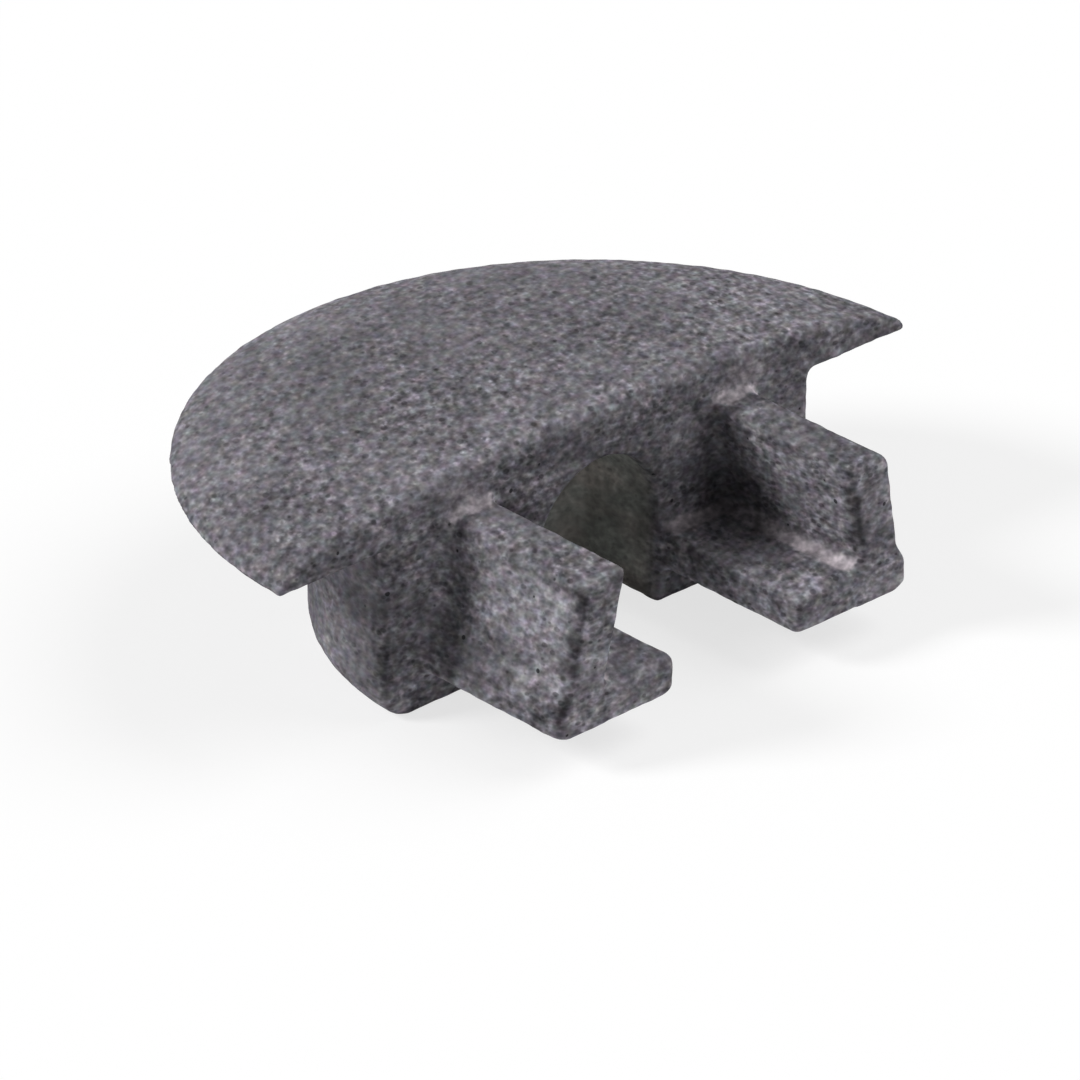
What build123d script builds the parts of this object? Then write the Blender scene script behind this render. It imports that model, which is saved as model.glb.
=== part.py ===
from build123d import *
import math
import os

os.makedirs("parts", exist_ok=True)

# End cap for a half-round profile, one solid in millimetres.
# +Z points out of the profile's end, the flange's underside is Z = 0,
# the flat front is the plane Y = 0 and the two prongs reach out to -Y.
# The origin is the middle of the flange's straight edge.

# Flange: a half disc with a thin rim and a shallow domed top
flange_radius = 11.0
rim_thickness = 0.05
dome_rise = 1.45

# Plug: a half disc below the flange, flush with its front
plug_radius = 7.5
plug_depth = 5.0
plug_lead_in_radius = 1.0

# Throat: the arched notch in the plug and the gap between the prongs' floors
throat_width = 4.2
throat_headroom = 0.05
notch_depth = 3.0

# Prongs: two mirrored L sections, a leaning wall on a floor plate
prong_length = 5.0
prong_rise = 0.25
floor_lift = 1.0
floor_thickness = 1.1
foot_inset = 1.4
foot_flare = 0.2
wall_thickness = 1.3
wall_lean_deg = 10.0

# Rounding of the prongs
channel_fillet_radius = 0.45
prong_corner_radius = 0.35
prong_end_radius = 0.3
root_fillet_radius = 0.3

# Heights and widths that line up the prongs with the plug
floor_underside = floor_lift - plug_depth
floor_top = floor_underside + floor_thickness
foot_x = plug_radius - foot_inset
throat_x = throat_width / 2


def flange():
    """Half disc whose top is half of a flat ellipsoid on a thin rim."""
    with BuildPart() as part:
        with BuildSketch(Plane.XZ):
            with BuildLine():
                Polyline(
                    (0, rim_thickness + dome_rise),
                    (0, 0),
                    (flange_radius, 0),
                    (flange_radius, rim_thickness),
                )
                EllipticalCenterArc((0, rim_thickness), flange_radius, dome_rise, 0, arc_size=90)
            make_face()
        revolve(axis=Axis.Z, revolution_arc=180)
    return part.part


def plug():
    """Half disc under the flange, with a rounded lead-in round its lower edge."""
    with BuildPart() as part:
        with BuildSketch():
            Circle(plug_radius)
            with Locations((0, -plug_radius)):
                Rectangle(2 * plug_radius, 2 * plug_radius, mode=Mode.SUBTRACT)
        extrude(amount=-plug_depth)
        lower_edges = part.edges().group_by(Axis.Z)[0]
        fillet(lower_edges.filter_by(GeomType.CIRCLE), plug_lead_in_radius)
    return part.part


def prong_section():
    """Section of the right prong: floor plate, leaning wall and the foot that flares out below it."""
    outer_x = foot_x - foot_flare
    inner_x = outer_x - wall_thickness
    lean = math.tan(math.radians(wall_lean_deg)) * (prong_rise - floor_top)
    rounded_corners = [
        (throat_x, floor_top),
        (throat_x, floor_underside),
        (foot_x, floor_underside),
        (outer_x - lean, prong_rise),
        (inner_x - lean, prong_rise),
    ]
    channel_corner = (inner_x, floor_top)
    flare_corners = [(foot_x, floor_top - foot_flare), (outer_x, floor_top)]
    outline = rounded_corners[:3] + flare_corners + rounded_corners[3:] + [channel_corner]
    with BuildSketch() as sketch:
        with BuildLine():
            Polyline(*outline, close=True)
        make_face()
        fillet(corners_at(sketch, rounded_corners), prong_corner_radius)
        fillet(corners_at(sketch, [channel_corner]), channel_fillet_radius)
    return sketch.sketch


def corners_at(sketch, places):
    """The sketch's corners nearest to the given places."""
    return [sketch.vertices().sort_by_distance(place)[0] for place in places]


def prong():
    """Right prong, drawn out along -Y from the flat front."""
    with BuildPart() as part:
        extrude(Plane.XZ * prong_section(), amount=prong_length)
        end_face = part.faces().sort_by(Axis.Y)[0]
        fillet(end_face.edges(), prong_end_radius)
    return part.part


def root_edges(body):
    """Edges where the prongs grow out of the flat front, which still has no throat."""
    margin = root_fillet_radius / 10
    nearest_x = throat_x - margin
    furthest_x = foot_x + margin
    on_front = body.edges().filter_by_position(Axis.Y, 0, 0)
    beside_throat = on_front.filter_by(lambda edge: nearest_x < abs(edge.center().X) < furthest_x)
    return beside_throat.filter_by_position(Axis.Z, floor_underside, prong_rise)


def throat():
    """Arched slot between the prongs' floors that runs on into the plug."""
    arch_centre_z = -throat_headroom - throat_x
    with BuildPart() as part:
        with BuildSketch(Plane.XZ.offset(prong_length)):
            with Locations((0, arch_centre_z)):
                Circle(throat_x)
            with Locations((0, (arch_centre_z - plug_depth) / 2)):
                Rectangle(throat_width, plug_depth + arch_centre_z)
        extrude(amount=-(prong_length + notch_depth))
    return part.part


right_prong = prong()
cap_body = flange() + plug() + right_prong + mirror(right_prong, about=Plane.YZ)
end_cap = fillet(root_edges(cap_body), root_fillet_radius) - throat()

export_step(end_cap, "parts/end_cap.step")
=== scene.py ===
import math

import bpy
import numpy as np
from mathutils import Matrix, Vector


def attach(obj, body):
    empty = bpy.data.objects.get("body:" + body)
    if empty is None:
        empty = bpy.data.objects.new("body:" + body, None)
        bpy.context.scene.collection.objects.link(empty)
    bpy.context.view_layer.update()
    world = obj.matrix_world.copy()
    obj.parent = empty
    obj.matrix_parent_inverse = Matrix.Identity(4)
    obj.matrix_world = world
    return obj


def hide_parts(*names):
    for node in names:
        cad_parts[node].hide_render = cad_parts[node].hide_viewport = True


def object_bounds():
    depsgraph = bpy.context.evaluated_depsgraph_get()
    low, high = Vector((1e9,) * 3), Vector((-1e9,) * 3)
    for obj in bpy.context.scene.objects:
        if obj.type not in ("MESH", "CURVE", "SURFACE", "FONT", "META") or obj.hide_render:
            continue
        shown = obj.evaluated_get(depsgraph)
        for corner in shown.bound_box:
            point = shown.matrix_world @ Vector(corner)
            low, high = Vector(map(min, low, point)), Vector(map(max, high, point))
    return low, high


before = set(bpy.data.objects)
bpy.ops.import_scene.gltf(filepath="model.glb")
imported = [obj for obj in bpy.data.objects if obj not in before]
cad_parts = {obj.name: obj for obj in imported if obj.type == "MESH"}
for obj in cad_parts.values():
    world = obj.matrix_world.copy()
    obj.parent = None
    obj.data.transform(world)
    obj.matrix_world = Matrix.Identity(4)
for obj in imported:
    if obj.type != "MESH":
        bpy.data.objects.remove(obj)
cad_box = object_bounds()

# The cap's surface is taken from a distance field with soft edges and gets the grain's relief.
# Its nylon is mixed from noises and from marks that the mesh carries. Shapes and marks are worked
# out in millimetres and the scene is in metres.
MM = 0.001

# The cap's sizes in millimetres, as in the solid
FLANGE_R = 11.0
RIM = 0.05
DOME_RISE = 1.45
PLUG_R = 7.5
PLUG_DEPTH = 5.0
LEAD_IN = 1.0
THROAT_X = 2.1
THROAT_CROWN = -0.05
NOTCH_DEPTH = 3.0
PRONG_LENGTH = 5.0
PRONG_TOP = 0.25
FLOOR_TOP = -2.9
FLOOR_BOTTOM = -4.0
FOOT_X = 6.1
WALL_OUTER_X = 5.9
WALL_THICKNESS = 1.3
WALL_LEAN = math.radians(10.0)

# In millimetres: how much thicker a wall grows toward its top, how far above the floor's underside
# it starts, how far the prongs run on into the plug, and the height over which their end's rounding
# changes from the foot's to the wall's
WALL_SWELL = 0.15
WALL_START = 0.3
PRONG_ROOT = 1.0
END_BLEND = 0.4

# Softening of the edges by the sintering, in millimetres
TOP_FRONT_ROUND = 0.4
TIP_ROUND = 0.04
RIM_ROUND = 0.06
PLUG_FRONT_ROUND = 0.18
SEAT_FILLET = 0.15
WALL_OUTER_ROUND = 0.4
WALL_INNER_ROUND = 0.13
WALL_END_ROUND = 0.23
FOOT_END_ROUND = 0.3
FOOT_ROUND = 0.33
FOOT_THROAT_ROUND = 0.18
FOOT_BOTTOM_ROUND = 0.4
CHANNEL_FILLET = 0.42
ROOT_FILLET = 0.32
THROAT_ROUND = 0.18
NOTCH_END_ROUND = 0.4

# Grid the surface is taken from, and the grain's relief on it, in millimetres
CELL = 0.1
GRID_MARGIN = 0.25
GRAIN = ((0.62, 0.008), (0.30, 0.012), (0.21, 0.008))
GRAIN_SEED = 7

# The nylon's plain grey, how far its hue wanders, the colour of its dust and painted highlights,
# the colours of the painted bounce light in the notch, and the colour of its pits
NYLON_GREY = (0.122, 0.118, 0.131)
HUE_SPREAD = (0.045, 0.040, 0.045)
DUST_AND_HIGHLIGHT_COLOUR = (0.42, 0.375, 0.40, 1)
NOTCH_BOUNCE_COLOURS = ((0.27, 0.255, 0.24, 1), (0.24, 0.25, 0.235, 1))
PIT_COLOUR = (0.012, 0.012, 0.014, 1)

# How many stops lighter or darker a full mark makes the nylon: some marks add painted light, others
# painted shade or shadow
MARK_STOPS = {"pale": 0.46, "shade_and_darkening": -1.0, "painted_bounce": 0.60, "relief": 0.25, "corner_shade": -1.2}

# How flat the nylon's layers squash the grains
LAYER_SQUASH = (1.0, 1.0, 1.35)

# The way the grains are drawn out, and what is left of their frequency along it
GRAIN_WAY = (0.61, 0.64, -0.47)
GRAIN_DRAWN = 0.6

# Painted shade in the inner corner of the prong channel: its middle and its reach either way, in
# millimetres
CORNER_SHADE = np.array([4.4, -1.0, -2.2])
CORNER_SHADE_REACH = np.array([1.2, 1.7, 1.5])

# The painted highlight on the flat front over either prong's root, in the same way
ROOT_HIGHLIGHT = np.array([4.9, 0.0, 0.64])
ROOT_HIGHLIGHT_REACH = np.array([0.8, 0.5, 0.4])

# Patches of painted light on the flat front beside the two roots, in the same way
INNER_PATCH = np.array([3.5, 0.0, -0.7])
OUTER_PATCH = np.array([6.2, 0.0, -1.0])
PATCH_REACH = np.array([0.8, 0.6, 1.3])


def soft_and(radius, *parts):
    """Distance to what several shapes share, with its edges rounded to the radius."""
    inner = np.maximum.reduce(parts)
    outer = sum(np.maximum(part + radius, 0.0) ** 2 for part in parts)
    return np.minimum(inner, -radius) + np.sqrt(outer)


def soft_or(radius, a, b):
    """Distance to two shapes together, with a fillet of the radius between them."""
    corner = np.hypot(np.maximum(radius - a, 0.0), np.maximum(radius - b, 0.0))
    return np.maximum(radius, np.minimum(a, b)) - corner


def flange_distance(x, y, z):
    """Disc with a thin upright rim and a flat ellipsoid for its top."""
    above_rim = np.maximum(z - RIM, 0.0)
    k0 = np.sqrt((x**2 + y**2) / FLANGE_R**2 + (above_rim / DOME_RISE) ** 2)
    k1 = np.sqrt((x**2 + y**2) / FLANGE_R**4 + above_rim**2 / DOME_RISE**4)
    dome = k0 * (k0 - 1.0) / np.maximum(k1, 1e-6)
    return soft_and(RIM_ROUND, dome, -z)


def plug_distance(x, y, z):
    """Round plug under the flange with its rounded lead-in."""
    return np.maximum(soft_and(LEAD_IN, np.hypot(x, y) - PLUG_R, -PLUG_DEPTH - z), z - RIM)


def front_radius(x, z):
    """Rounding of the edges round the flat front, which is widest on the middle of the dome."""
    near_tip = np.clip((np.abs(x) / FLANGE_R - 0.55) / 0.4, 0.0, 1.0)
    dome_edge = TOP_FRONT_ROUND + (TIP_ROUND - TOP_FRONT_ROUND) * near_tip
    from_seat = np.clip(np.abs(z) / 0.3, 0.0, 1.0)
    return RIM_ROUND + (np.where(z > 0.0, dome_edge, PLUG_FRONT_ROUND) - RIM_ROUND) * from_seat


def prong_distance(x, y, z):
    """The leaning wall and the floor plate of either prong."""
    side = np.abs(x)
    across = (side - WALL_OUTER_X) * math.cos(WALL_LEAN) + (z - FLOOR_TOP) * math.sin(WALL_LEAN)
    swell = WALL_SWELL * np.clip((z - FLOOR_TOP) / (PRONG_TOP - FLOOR_TOP), 0.0, 1.0)
    thickness = (WALL_THICKNESS + swell) * math.cos(WALL_LEAN)
    wall = soft_and(WALL_OUTER_ROUND, across, z - PRONG_TOP)
    wall = soft_and(WALL_INNER_ROUND, wall, -across - thickness)
    wall = np.maximum(wall, FLOOR_BOTTOM + WALL_START - z)
    foot = soft_and(FOOT_ROUND, side - FOOT_X, z - FLOOR_TOP)
    foot = soft_and(FOOT_THROAT_ROUND, foot, THROAT_X - side)
    foot = soft_and(FOOT_BOTTOM_ROUND, foot, FLOOR_BOTTOM - z)
    section = soft_or(CHANNEL_FILLET, wall, foot)
    up_wall = np.clip((z - FLOOR_TOP) / END_BLEND, 0.0, 1.0)
    end_round = FOOT_END_ROUND + (WALL_END_ROUND - FOOT_END_ROUND) * up_wall
    return soft_and(end_round, section, -PRONG_LENGTH - y, y - PRONG_ROOT)


def throat_distance(x, y, z):
    """Arched slot between the floors that runs on into the plug."""
    arch_z = THROAT_CROWN - THROAT_X
    arch = np.hypot(x, np.maximum(z - arch_z, 0.0)) - THROAT_X
    return soft_and(NOTCH_END_ROUND, arch, y - NOTCH_DEPTH)


def cap_distance(points):
    """Signed distance in millimetres from points to the cap's surface."""
    x, y, z = points[..., 0], points[..., 1], points[..., 2]
    body = soft_or(SEAT_FILLET, flange_distance(x, y, z), plug_distance(x, y, z))
    body = soft_and(front_radius(x, z), body, -y)
    body = soft_or(ROOT_FILLET, body, prong_distance(x, y, z))
    return soft_and(THROAT_ROUND, body, -throat_distance(x, y, z))


def cell_corners():
    """The eight corners of a cell and the twelve pairs of them that its edges join."""
    corners = [(i, j, k) for i in (0, 1) for j in (0, 1) for k in (0, 1)]
    pairs = []
    for a, first in enumerate(corners):
        for b, second in enumerate(corners):
            if a < b and sum(abs(m - n) for m, n in zip(first, second)) == 1:
                pairs.append((a, b))
    return corners, pairs


def surface_net(field, origin, cell):
    """Vertices and quads of the field's zero surface, one vertex in each cell it crosses."""
    corners, pairs = cell_corners()
    inside = field < 0
    count = [n - 1 for n in field.shape]
    total = np.zeros(count, np.int8)
    for i, j, k in corners:
        total += inside[i:i + count[0], j:j + count[1], k:k + count[2]]
    cells = np.argwhere((total > 0) & (total < 8))
    values = np.stack([field[tuple((cells + c).T)] for c in corners], axis=1)

    sums = np.zeros((len(cells), 3))
    hits = np.zeros(len(cells))
    for a, b in pairs:
        va, vb = values[:, a], values[:, b]
        crossed = (va < 0) != (vb < 0)
        t = np.where(crossed, va / np.where(crossed, va - vb, 1.0), 0.0)
        spot = np.array(corners[a]) + t[:, None] * (np.array(corners[b]) - np.array(corners[a]))
        sums += np.where(crossed[:, None], spot, 0.0)
        hits += crossed
    vertices = origin + cell * (cells + sums / hits[:, None])

    number = np.full(count, -1, np.int64)
    number[tuple(cells.T)] = np.arange(len(cells))
    quads = []
    for axis in range(3):
        side_a, side_b = (axis + 1) % 3, (axis + 2) % 3
        low = [slice(0, -1) if d == axis else slice(1, -1) for d in range(3)]
        high = [slice(1, None) if d == axis else slice(1, -1) for d in range(3)]
        starts_inside, ends_inside = inside[tuple(low)], inside[tuple(high)]
        base = np.argwhere(starts_inside != ends_inside)
        base += np.array([0 if d == axis else 1 for d in range(3)])
        ring = []
        for da, db in ((-1, -1), (0, -1), (0, 0), (-1, 0)):
            step = np.zeros(3, int)
            step[side_a], step[side_b] = da, db
            ring.append(number[tuple((base + step).T)])
        ring = np.stack(ring, axis=1)
        outward = inside[tuple(base.T)]
        quads.append(np.where(outward[:, None], ring, ring[:, ::-1]))
    return vertices, np.concatenate(quads)


def gradient(points, step):
    """The distance at the points, the unit direction in which it grows, and how fast."""
    slopes = []
    for axis in range(3):
        offset = np.zeros(3)
        offset[axis] = step
        slopes.append((cap_distance(points + offset) - cap_distance(points - offset)) / (2 * step))
    slopes = np.stack(slopes, axis=1)
    size = np.linalg.norm(slopes, axis=1)
    return cap_distance(points), slopes / np.maximum(size, 1e-6)[:, None], size


def curvature(points, reach):
    """How sharply the surface bends over the reach: above 0 on ridges, below 0 in hollows."""
    bend = np.zeros(len(points))
    for axis in range(3):
        offset = np.zeros(3)
        offset[axis] = reach
        ahead, behind = gradient(points + offset, 0.02)[1], gradient(points - offset, 0.02)[1]
        bend += (ahead[:, axis] - behind[:, axis]) / (2 * reach)
    return bend


def lattice_noise(points, wavelength, rng):
    """Smooth noise from -1 to 1 with about the given wavelength."""
    spots = (points - points.min(axis=0)) / wavelength + 1.0
    lattice = rng.uniform(-1.0, 1.0, tuple(spots.max(axis=0).astype(int) + 3))
    base = np.floor(spots).astype(int)
    part = spots - base
    part = part * part * (3.0 - 2.0 * part)
    noise = np.zeros(len(points))
    for corner in cell_corners()[0]:
        weight = np.prod(np.where(np.array(corner) == 1, part, 1.0 - part), axis=1)
        noise += weight * lattice[tuple((base + corner).T)]
    return noise


def patch(points, middle, reach):
    """Soft round patch on either side of the cap: 1 in its middle, 0 past its reach."""
    mirrored = np.stack([np.abs(points[:, 0]), points[:, 1], points[:, 2]], axis=1)
    return np.clip(1.25 - np.linalg.norm((mirrored - middle) / reach, axis=1), 0.0, 1.0)


def ramp(value, start, end):
    """0 up to the start, 1 from the end on and even in between."""
    return np.clip((value - start) / (end - start), 0.0, 1.0)


def channel_side(x):
    """1 on the channel's side of either prong wall, 0 outside it."""
    return ramp(np.abs(x), WALL_OUTER_X - 0.7, WALL_OUTER_X - 0.9)


def edge_shade_mark(points, normal):
    """Painted shade on upright edges facing the left front, and faintly on the throat's brow."""
    x, y, z = points.T
    up = normal[:, 2]
    ridge = curvature(points, 0.4)
    upright = 1.0 - 0.85 * ramp(np.abs(up), 0.0, 0.7)
    outward = ramp(-normal[:, 0] - 0.6 * normal[:, 1], 0.7, 1.05)
    edges = ramp(ridge, 0.22, 1.32) * upright * outward
    corners = ramp(ridge, 1.5, 2.5) * outward * (x < 0.0)
    shaded_faces = np.maximum(ramp(y, -0.3, -1.1), 0.45 * ramp(z, 0.0, -0.4))
    shaded_faces *= np.maximum(0.4 * (x > 0.0), ramp(np.abs(x), 3.4, 4.0))
    brow = (y < 0.05) * ramp(z, -1.1, -0.6) * ramp(x, 5.5, 3.5) * ramp(up, 0.3, 0.0)
    return np.maximum(np.maximum(edges, corners) * shaded_faces, 0.23 * brow)


def dust_and_highlight_mark(points, normal, corner_shade):
    """Dust and painted highlight in the creases that face up, less so in the dark corner."""
    x, y, z = points.T
    swept = np.maximum(channel_side(x), ramp(z, -0.3, 0.0))
    crease = ramp(-curvature(points, 0.13), 0.144, 1.344) * ramp(normal[:, 2], 0.15, 0.6)
    at_root = 1.0 - 0.35 * ramp(y, -1.2, -0.6) * (x < 0.0)
    # Painted highlight on the flat front over either prong's root
    over_root = np.where(x > 0.0, 0.6, 0.3) * patch(points, ROOT_HIGHLIGHT, ROOT_HIGHLIGHT_REACH)
    return np.maximum(crease * swept * at_root * (1.0 - 0.6 * corner_shade), over_root)


def painted_light_mark(points, normal, notch_bounce):
    """Painted light on the prongs, dome's border and front, by the roots, in the notch's end."""
    x, y, z = points.T
    on_dome = z > RIM
    right_floor = (z < -2.0) * (x > 0.0) * ramp(normal[:, 2], 0.6, 0.9)
    prongs = ramp(y, -0.3, -1.1) * (0.9 + 0.25 * right_floor)
    border = ramp(np.hypot(x, y), FLANGE_R - 2.875, FLANGE_R - 0.375) * on_dome * ramp(y, 1.0, 5.0)
    front_band = ramp(y, 2.3, 0.3) * on_dome * (y > -0.3) * ramp(x, -9.0, -6.0)
    right_end = ramp(x, 4.8, 6.8)
    beside = np.where(
        x > 0.0,
        patch(points, INNER_PATCH, PATCH_REACH),
        patch(points, OUTER_PATCH, PATCH_REACH),
    ) * ramp(y, -0.3, 0.0)
    notch_end = notch_bounce * ramp(y, 1.3, 2.1)
    return np.maximum.reduce(
        [prongs, 0.9 * border, 0.8 * front_band, 0.6 * right_end, beside, 0.45 * notch_end]
    )


def shade_and_darkening_mark(points, normal, notch_bounce):
    """Painted shadow at the left prong's outer root; darker prong tops and notch mouth."""
    x, y, z = points.T
    # Painted shadow of the flange and plug on the left prong's outer side near its root
    root = (x < 0.0) * ramp(-normal[:, 0], 0.3, 0.7) * ramp(y, -1.5, -0.8) * ramp(y, -0.3, -0.55)
    top = ramp(z, -0.3, 0.0) * ramp(normal[:, 2], 0.5, 0.8) * ramp(y, 0.0, -0.5)
    notch_mouth = notch_bounce * ramp(y, 1.3, 0.7)
    return np.maximum.reduce([0.6 * root, np.where(x > 0.0, 0.65, 0.25) * top, 0.3 * notch_mouth])


def surface_marks(points, normal):
    """What marks each point of the surface and how much, by the mark's name."""
    x, y, z = points.T
    up = normal[:, 2]
    # Painted bounce light inside the notch: a lighter olive tone on its inner faces
    notch_bounce = (throat_distance(x, y, z) < 0.35) * ramp(y, 0.08, 0.58)
    # Painted shade in the channel's inner corner
    corner_shade = patch(points, CORNER_SHADE, CORNER_SHADE_REACH) * channel_side(x)
    dust_and_highlight = dust_and_highlight_mark(points, normal, corner_shade)
    plug_side = ramp(z, -0.2, -0.5) * ramp(y, 0.0, 0.5)
    back = ramp(y, 3.0, 8.0)
    # Painted bounce light from the floor on the flat front's bottom band
    under_front = ramp(z, -3.9, -4.2) * (np.abs(y) < 0.3)
    return {
        "edge_shade": edge_shade_mark(points, normal),
        "dust_and_highlight": dust_and_highlight,
        "pale": painted_light_mark(points, normal, notch_bounce),
        "shade_and_darkening": shade_and_darkening_mark(points, normal, notch_bounce),
        "smooth": np.maximum.reduce([0.6 * notch_bounce, 0.5 * dust_and_highlight, 0.45 * plug_side, 0.3 * back]),
        "upward": np.clip(up, 0.0, 1.0),
        # Painted bounce light on the low faces that look down
        "painted_bounce": np.maximum(ramp(up, 0.0, -0.7) * (z < -2.0), 1.1 * under_front),
        "notch_bounce": notch_bounce,
        "corner_shade": corner_shade,
    }


def cap_mesh():
    """The cap's surface with the relief of its grain, and the marks on it."""
    low = np.array([-FLANGE_R, -PRONG_LENGTH, -PLUG_DEPTH]) - GRID_MARGIN
    high = np.array([FLANGE_R, FLANGE_R, RIM + DOME_RISE]) + GRID_MARGIN
    axes = [np.arange(a, b + CELL, CELL) for a, b in zip(low, high)]
    grid = np.stack(np.meshgrid(*axes, indexing="ij"), axis=-1)
    vertices, quads = surface_net(cap_distance(grid), low, CELL)
    for _ in range(3):
        here, normal, size = gradient(vertices, 0.002)
        step = np.clip(here / np.maximum(size, 0.3), -CELL / 2, CELL / 2)
        vertices -= step[:, None] * normal
    _here, normal, _size = gradient(vertices, 0.12)
    marks = surface_marks(vertices, normal)

    rng = np.random.default_rng(GRAIN_SEED)
    relief = np.zeros(len(vertices))
    for wavelength, height in GRAIN:
        relief += height * lattice_noise(vertices, wavelength, rng)
    vertices += relief[:, None] * normal
    vertices = np.clip(vertices, np.array(cad_box[0]) / MM, np.array(cad_box[1]) / MM)
    # The grain's height as a mark: painted light on its bumps and painted shade in its hollows
    marks["relief"] = relief / sum(height for _wavelength, height in GRAIN)
    return vertices, quads, marks


def float_layer(mesh, name, values):
    """Keep one number for each vertex of the mesh, under the name."""
    layer = mesh.attributes.new(name, "FLOAT", "POINT")
    layer.data.foreach_set("value", np.asarray(values, np.float32))


def make_cap():
    """The dressed cap as one object."""
    vertices, quads, marks = cap_mesh()
    mesh = bpy.data.meshes.new("end_cap_dressed")
    mesh.vertices.add(len(vertices))
    mesh.vertices.foreach_set("co", (vertices * MM).astype(np.float32).ravel())
    mesh.loops.add(quads.size)
    mesh.loops.foreach_set("vertex_index", quads.astype(np.int32).ravel())
    mesh.polygons.add(len(quads))
    mesh.polygons.foreach_set("loop_start", np.arange(0, quads.size, 4, dtype=np.int32))
    mesh.update(calc_edges=True)
    mesh.validate()
    mesh.shade_smooth()
    for name, values in marks.items():
        float_layer(mesh, name, values)
    cap = bpy.data.objects.new("end_cap_dressed", mesh)
    bpy.context.scene.collection.objects.link(cap)
    return cap


class Nodes:
    """Short way to add and join the nodes of a material or the world."""

    def __init__(self, tree):
        self.tree = tree
        tree.nodes.clear()

    def add(self, kind, inputs=None, **settings):
        """A node with its settings, and with each input linked to a socket or set to a value."""
        node = self.tree.nodes.new(kind)
        for name, value in settings.items():
            setattr(node, name, value)
        for name, value in (inputs or {}).items():
            if isinstance(value, bpy.types.NodeSocket):
                self.tree.links.new(value, node.inputs[name])
            else:
                node.inputs[name].default_value = value
        return node

    def math(self, operation, a, b):
        return self.add("ShaderNodeMath", {0: a, 1: b}, operation=operation).outputs[0]

    def times(self, a, b):
        return self.math("MULTIPLY", a, b)

    def total(self, *values):
        result = values[0]
        for value in values[1:]:
            result = self.math("ADD", result, value)
        return result

    def around_half(self, value, gain):
        """The value's difference from one half, times the gain."""
        return self.times(self.math("SUBTRACT", value, 0.5), gain)

    def vector(self, operation, a, b):
        return self.add("ShaderNodeVectorMath", {0: a, 1: b}, operation=operation).outputs[0]

    def drawn_out(self, place, way, left):
        """The place with its part along the way shrunk, which draws a pattern out along it."""
        dot = self.add("ShaderNodeVectorMath", {0: place, 1: way}, operation="DOT_PRODUCT")
        shift = self.scaled(way, self.times(dot.outputs["Value"], left - 1.0))
        return self.vector("ADD", place, shift)

    def scaled(self, vector, factor):
        """The vector or colour times one number."""
        node = self.add("ShaderNodeVectorMath", {0: vector, "Scale": factor}, operation="SCALE")
        return node.outputs[0]

    def noise(self, place, scale, detail, roughness=0.5):
        """A noise's outputs: Fac is its value, Color holds three more."""
        inputs = {"Vector": place, "Scale": scale, "Detail": detail, "Roughness": roughness}
        return self.add("ShaderNodeTexNoise", inputs).outputs

    def dots(self, place, scale, widest, softness):
        """Round dots of many sizes, in parts of a cell: 1 in a dot, 0 outside."""
        inputs = {"Vector": place, "Scale": scale}
        cells = self.add("ShaderNodeTexVoronoi", inputs, feature="F1").outputs
        chance = self.add("ShaderNodeSeparateColor", {"Color": cells["Color"]}).outputs[0]
        radius = self.spread(chance, 0.2, 1.0, 0.0, widest)
        depth = self.math("SUBTRACT", radius, cells["Distance"])
        return self.spread(depth, -softness / 2, softness / 2, 0.0, 1.0)

    def spread(self, value, low, high, to_low, to_high):
        """The value carried evenly from low..high to to_low..to_high, and held at the ends."""
        inputs = {"Value": value, "From Min": low, "From Max": high}
        inputs.update({"To Min": to_low, "To Max": to_high})
        return self.add("ShaderNodeMapRange", inputs).outputs["Result"]

    def mix(self, amount, a, b):
        """Colour a where the amount is 0, colour b where it is 1."""
        node = self.add("ShaderNodeMix", data_type="RGBA")
        for index, value in ((0, amount), (6, a), (7, b)):
            if isinstance(value, bpy.types.NodeSocket):
                self.tree.links.new(value, node.inputs[index])
            else:
                node.inputs[index].default_value = value
        return node.outputs[2]


def mark(n, name):
    """One of the marks that the mesh carries."""
    return n.add("ShaderNodeAttribute", attribute_name=name).outputs["Fac"]


def nylon_patterns(n):
    """The noises and dots that the nylon's looks are mixed from, with scales in cells a metre."""
    object_place = n.add("ShaderNodeTexCoord").outputs["Object"]
    squashed = n.vector("MULTIPLY", object_place, LAYER_SQUASH)
    place = n.drawn_out(squashed, GRAIN_WAY, GRAIN_DRAWN)
    patches = n.noise(place, 640.0, detail=2.0, roughness=0.55)
    coarse = n.add("ShaderNodeSeparateColor", {"Color": patches["Color"]}).outputs
    return {
        "grains": n.noise(place, 5000.0, detail=1.5)["Fac"],
        "speckle": n.noise(place, 3600.0, detail=1.0)["Color"],
        "blotches": n.noise(place, 1900.0, detail=1.0)["Fac"],
        "patches": patches["Fac"],
        "coarse_mottle": coarse[1],
        "strength": coarse[2],
        "bright": n.dots(place, 5200.0, 0.40, 0.18),
        "dark": n.dots(place, 4000.0, 0.38, 0.16),
        "pits": n.dots(object_place, 1900.0, 0.14, 0.04),
        "flat_top": n.spread(mark(n, "upward"), 0.3, 0.9, 0.0, 1.0),
    }


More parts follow.
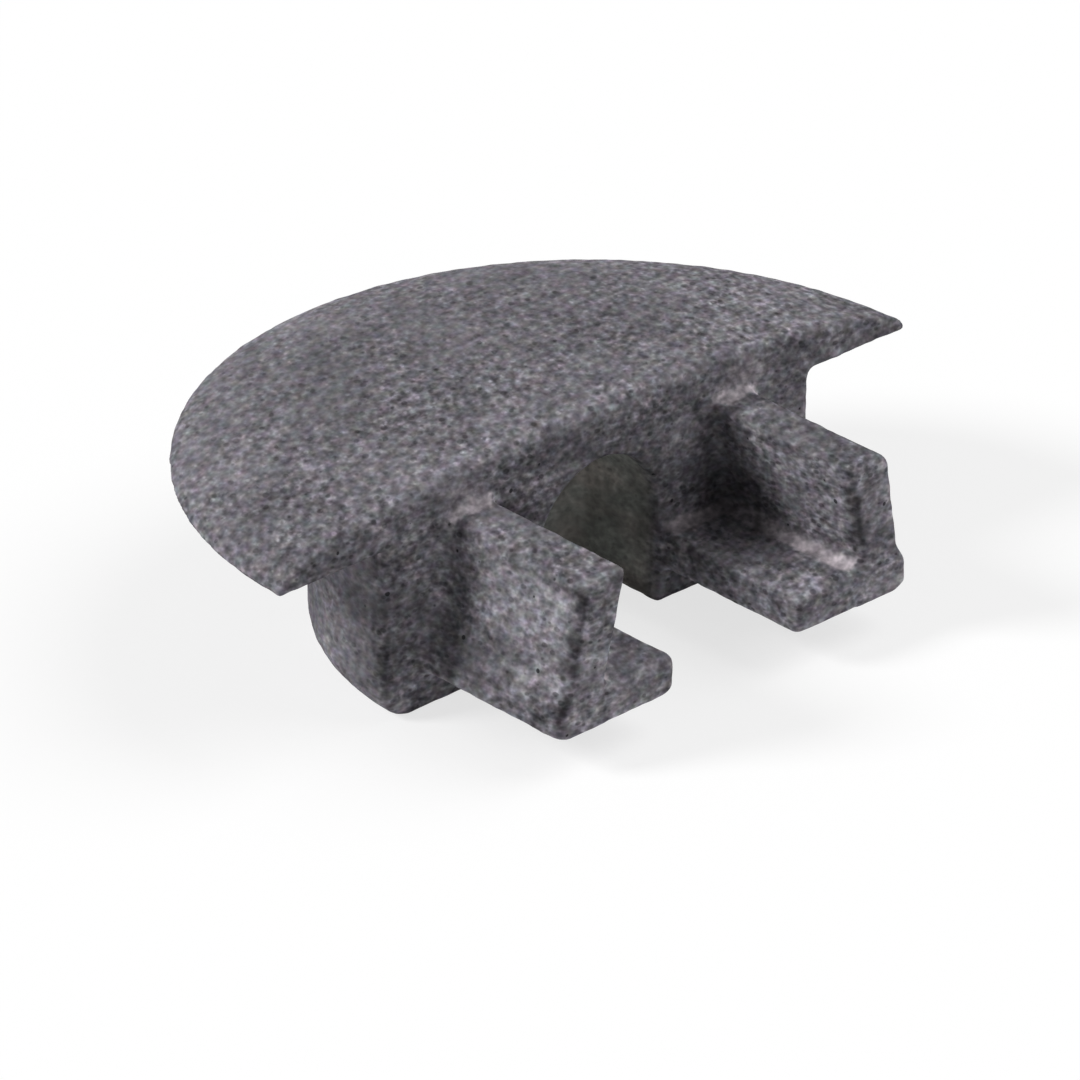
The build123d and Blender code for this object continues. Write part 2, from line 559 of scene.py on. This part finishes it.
def nylon_stops(n, pattern):
    """How much lighter or darker than the plain grey the nylon is, in stops."""
    flat_top, blotches, strength = pattern["flat_top"], pattern["blotches"], pattern["strength"]
    grainy = n.total(
        n.around_half(pattern["grains"], 4.0),
        n.times(pattern["bright"], n.spread(flat_top, 0.0, 1.0, 0.22, 0.50)),
        n.times(pattern["dark"], -0.80),
        n.around_half(blotches, 1.0),
    )
    rough = n.math("SUBTRACT", 1.0, mark(n, "smooth"))
    graininess = n.times(rough, n.spread(strength, 0.38, 0.62, 0.78, 1.22))
    patchiness = n.spread(flat_top, 0.0, 1.0, 1.0, 0.4)
    # Painted shade on the edges that face the left front, deepened by the coarse mottle
    edge_shade_depth = n.times(
        n.spread(pattern["coarse_mottle"], 0.38, 0.62, -1.5, -0.7),
        n.spread(blotches, 0.36, 0.64, 1.5, 0.3),
    )
    # Painted bounce light in the notch: about a quarter stop lighter, unevenly
    notch_bounce_stops = n.math("ADD", n.around_half(strength, 3.0), 0.25)
    return n.total(
        n.times(grainy, graininess),
        n.times(n.around_half(pattern["patches"], 2.4), patchiness),
        n.times(mark(n, "notch_bounce"), notch_bounce_stops),
        n.times(mark(n, "edge_shade"), edge_shade_depth),
        # Painted light: the upright faces a tenth of a stop lighter than the top
        n.spread(flat_top, 0.0, 1.0, 0.10, 0.0),
        *(n.times(mark(n, name), stops) for name, stops in MARK_STOPS.items()),
    )


def nylon_colour(n, pattern):
    """Grey with painted bounce, dust and painted highlight, made lighter or darker, and pits."""
    hues = {0: pattern["speckle"], 1: HUE_SPREAD, 2: NYLON_GREY}
    tint = n.add("ShaderNodeVectorMath", hues, operation="MULTIPLY_ADD").outputs[0]
    # Painted bounce light in the notch: olive tones
    notch_bounce = n.mix(n.spread(pattern["coarse_mottle"], 0.40, 0.60, 0.0, 1.0), *NOTCH_BOUNCE_COLOURS)
    tint = n.mix(mark(n, "notch_bounce"), tint, notch_bounce)
    ragged = n.times(
        n.spread(pattern["grains"], 0.35, 0.65, 0.75, 1.0),
        n.spread(pattern["blotches"], 0.35, 0.6, 0.6, 1.0),
    )
    tint = n.mix(n.times(mark(n, "dust_and_highlight"), ragged), tint, DUST_AND_HIGHLIGHT_COLOUR)
    colour = n.scaled(tint, n.math("POWER", 2.0, nylon_stops(n, pattern)))
    filled = n.math("MAXIMUM", pattern["flat_top"], mark(n, "notch_bounce"))
    pitted = n.times(pattern["pits"], n.spread(filled, 0.0, 1.0, 0.85, 0.25))
    return n.mix(pitted, colour, PIT_COLOUR)


def nylon_material():
    """Sintered nylon: powder grains, pits, mottled patches, dust, painted light and shade."""
    material = bpy.data.materials.new("nylon")
    material.use_nodes = True
    n = Nodes(material.node_tree)
    pattern = nylon_patterns(n)
    grains = pattern["grains"]
    bump = n.add("ShaderNodeBump", {"Height": grains, "Strength": 0.8, "Distance": 0.04 * MM})
    shader = n.add("ShaderNodeBsdfPrincipled", {
        "Base Color": nylon_colour(n, pattern),
        "Roughness": n.spread(grains, 0.3, 0.7, 0.98, 0.8),
        "Specular IOR Level": 0.06,
        "Normal": bump.outputs["Normal"],
    })
    n.add("ShaderNodeOutputMaterial", {"Surface": shader.outputs[0]})
    return material


# Light from all round, the floor's own colour, and how much of its shadow the camera sees
FILL = 0.21
FLOOR_PALE = 0.8
SHADOW_DEPTH = 0.28

# Half the floor's width, in metres
FLOOR_REACH = 0.8

# The lamps: the way to each, its strength, and how wide it looks in degrees
KEY_LAMP = ((-0.701, 0.405, 0.588), 2.26, 18.0)
FILL_LAMP = ((0.583, -0.272, 0.766), 1.51, 45.0)

# The photograph's view: the camera's turn, rise and tilt in degrees, how far it stands back from
# the origin, left of it and below it as the camera sees it, in millimetres, and its lens
CAMERA_ANGLES = (43.815, 28.17, 0.802)
CAMERA_BACK = 204.340
CAMERA_LEFT = 1.581
CAMERA_DOWN = 2.073
CAMERA_LENS = 267.532


def seen_directly(n):
    """1 for what the camera sees itself, in a mirror or through glass, else 0."""
    path = n.add("ShaderNodeLightPath").outputs
    either = n.math("MAXIMUM", path["Is Camera Ray"], path["Is Glossy Ray"])
    return n.math("MAXIMUM", either, path["Is Transmission Ray"])


def make_floor():
    """Plain pale floor that looks white to the camera and keeps the shadow."""
    mesh = bpy.data.meshes.new("floor")
    ways = ((-1, -1), (1, -1), (1, 1), (-1, 1))
    corners = [(FLOOR_REACH * i, FLOOR_REACH * j, -PLUG_DEPTH * MM) for i, j in ways]
    mesh.from_pydata(corners, [], [(0, 1, 2, 3)])
    floor = bpy.data.objects.new("floor", mesh)
    bpy.context.scene.collection.objects.link(floor)
    material = bpy.data.materials.new("pale_floor")
    material.use_nodes = True
    n = Nodes(material.node_tree)
    shadowed = n.add("ShaderNodeBsdfDiffuse", {"Color": (FLOOR_PALE, FLOOR_PALE, FLOOR_PALE, 1)})
    seen = n.add("ShaderNodeBsdfDiffuse", {"Color": (1, 1, 1, 1)})
    white = n.add("ShaderNodeEmission", {"Color": (1, 1, 1, 1), "Strength": 1.0})
    pale = n.add("ShaderNodeMixShader", {0: SHADOW_DEPTH, 1: white.outputs[0], 2: seen.outputs[0]})
    both = {0: seen_directly(n), 1: shadowed.outputs[0], 2: pale.outputs[0]}
    shader = n.add("ShaderNodeMixShader", both)
    n.add("ShaderNodeOutputMaterial", {"Surface": shader.outputs[0]})
    mesh.materials.append(material)


def make_world():
    """White where it is seen itself, and an even light of its own strength on the cap."""
    world = bpy.data.worlds.new("studio")
    bpy.context.scene.world = world
    world.use_nodes = True
    n = Nodes(world.node_tree)
    strength = n.spread(seen_directly(n), 0.0, 1.0, FILL, 1.0)
    sky = n.add("ShaderNodeBackground", {"Color": (1, 1, 1, 1), "Strength": strength})
    n.add("ShaderNodeOutputWorld", {"Surface": sky.outputs[0]})


def make_lamp(name, towards, strength, softness_deg):
    """A broad soft lamp, so far off that it lights the floor evenly."""
    lamp = bpy.data.lights.new(name, "SUN")
    lamp.energy = strength
    lamp.angle = math.radians(softness_deg)
    holder = bpy.data.objects.new(name, lamp)
    bpy.context.scene.collection.objects.link(holder)
    holder.rotation_mode = "QUATERNION"
    holder.rotation_quaternion = Vector(towards).to_track_quat("Z", "Y")


def make_camera():
    """The photograph's view."""
    turn, rise, tilt = (math.radians(angle) for angle in CAMERA_ANGLES)
    ahead = Vector((math.sin(turn), math.cos(turn), 0.0))
    forward = ahead * math.cos(rise) - Vector((0.0, 0.0, math.sin(rise)))
    level = Vector((math.cos(turn), -math.sin(turn), 0.0))
    upright = level.cross(forward)
    right = level * math.cos(tilt) + upright * math.sin(tilt)
    up = upright * math.cos(tilt) - level * math.sin(tilt)
    place = (-forward * CAMERA_BACK - right * CAMERA_LEFT - up * CAMERA_DOWN) * MM
    data = bpy.data.cameras.new("camera")
    data.sensor_width = 36.0
    data.lens = CAMERA_LENS
    data.clip_start, data.clip_end = 0.01, 10.0
    camera = bpy.data.objects.new("camera", data)
    bpy.context.scene.collection.objects.link(camera)
    turned = Matrix((right, up, -forward)).transposed().to_4x4()
    camera.matrix_world = Matrix.Translation(place) @ turned
    bpy.context.scene.camera = camera


cap = make_cap()
cap.data.materials.append(nylon_material())
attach(cap, "root")
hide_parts("end_cap")

make_floor()
make_world()
make_lamp("key", *KEY_LAMP)
make_lamp("fill", *FILL_LAMP)
make_camera()
bpy.context.scene.view_settings.view_transform = "Standard"
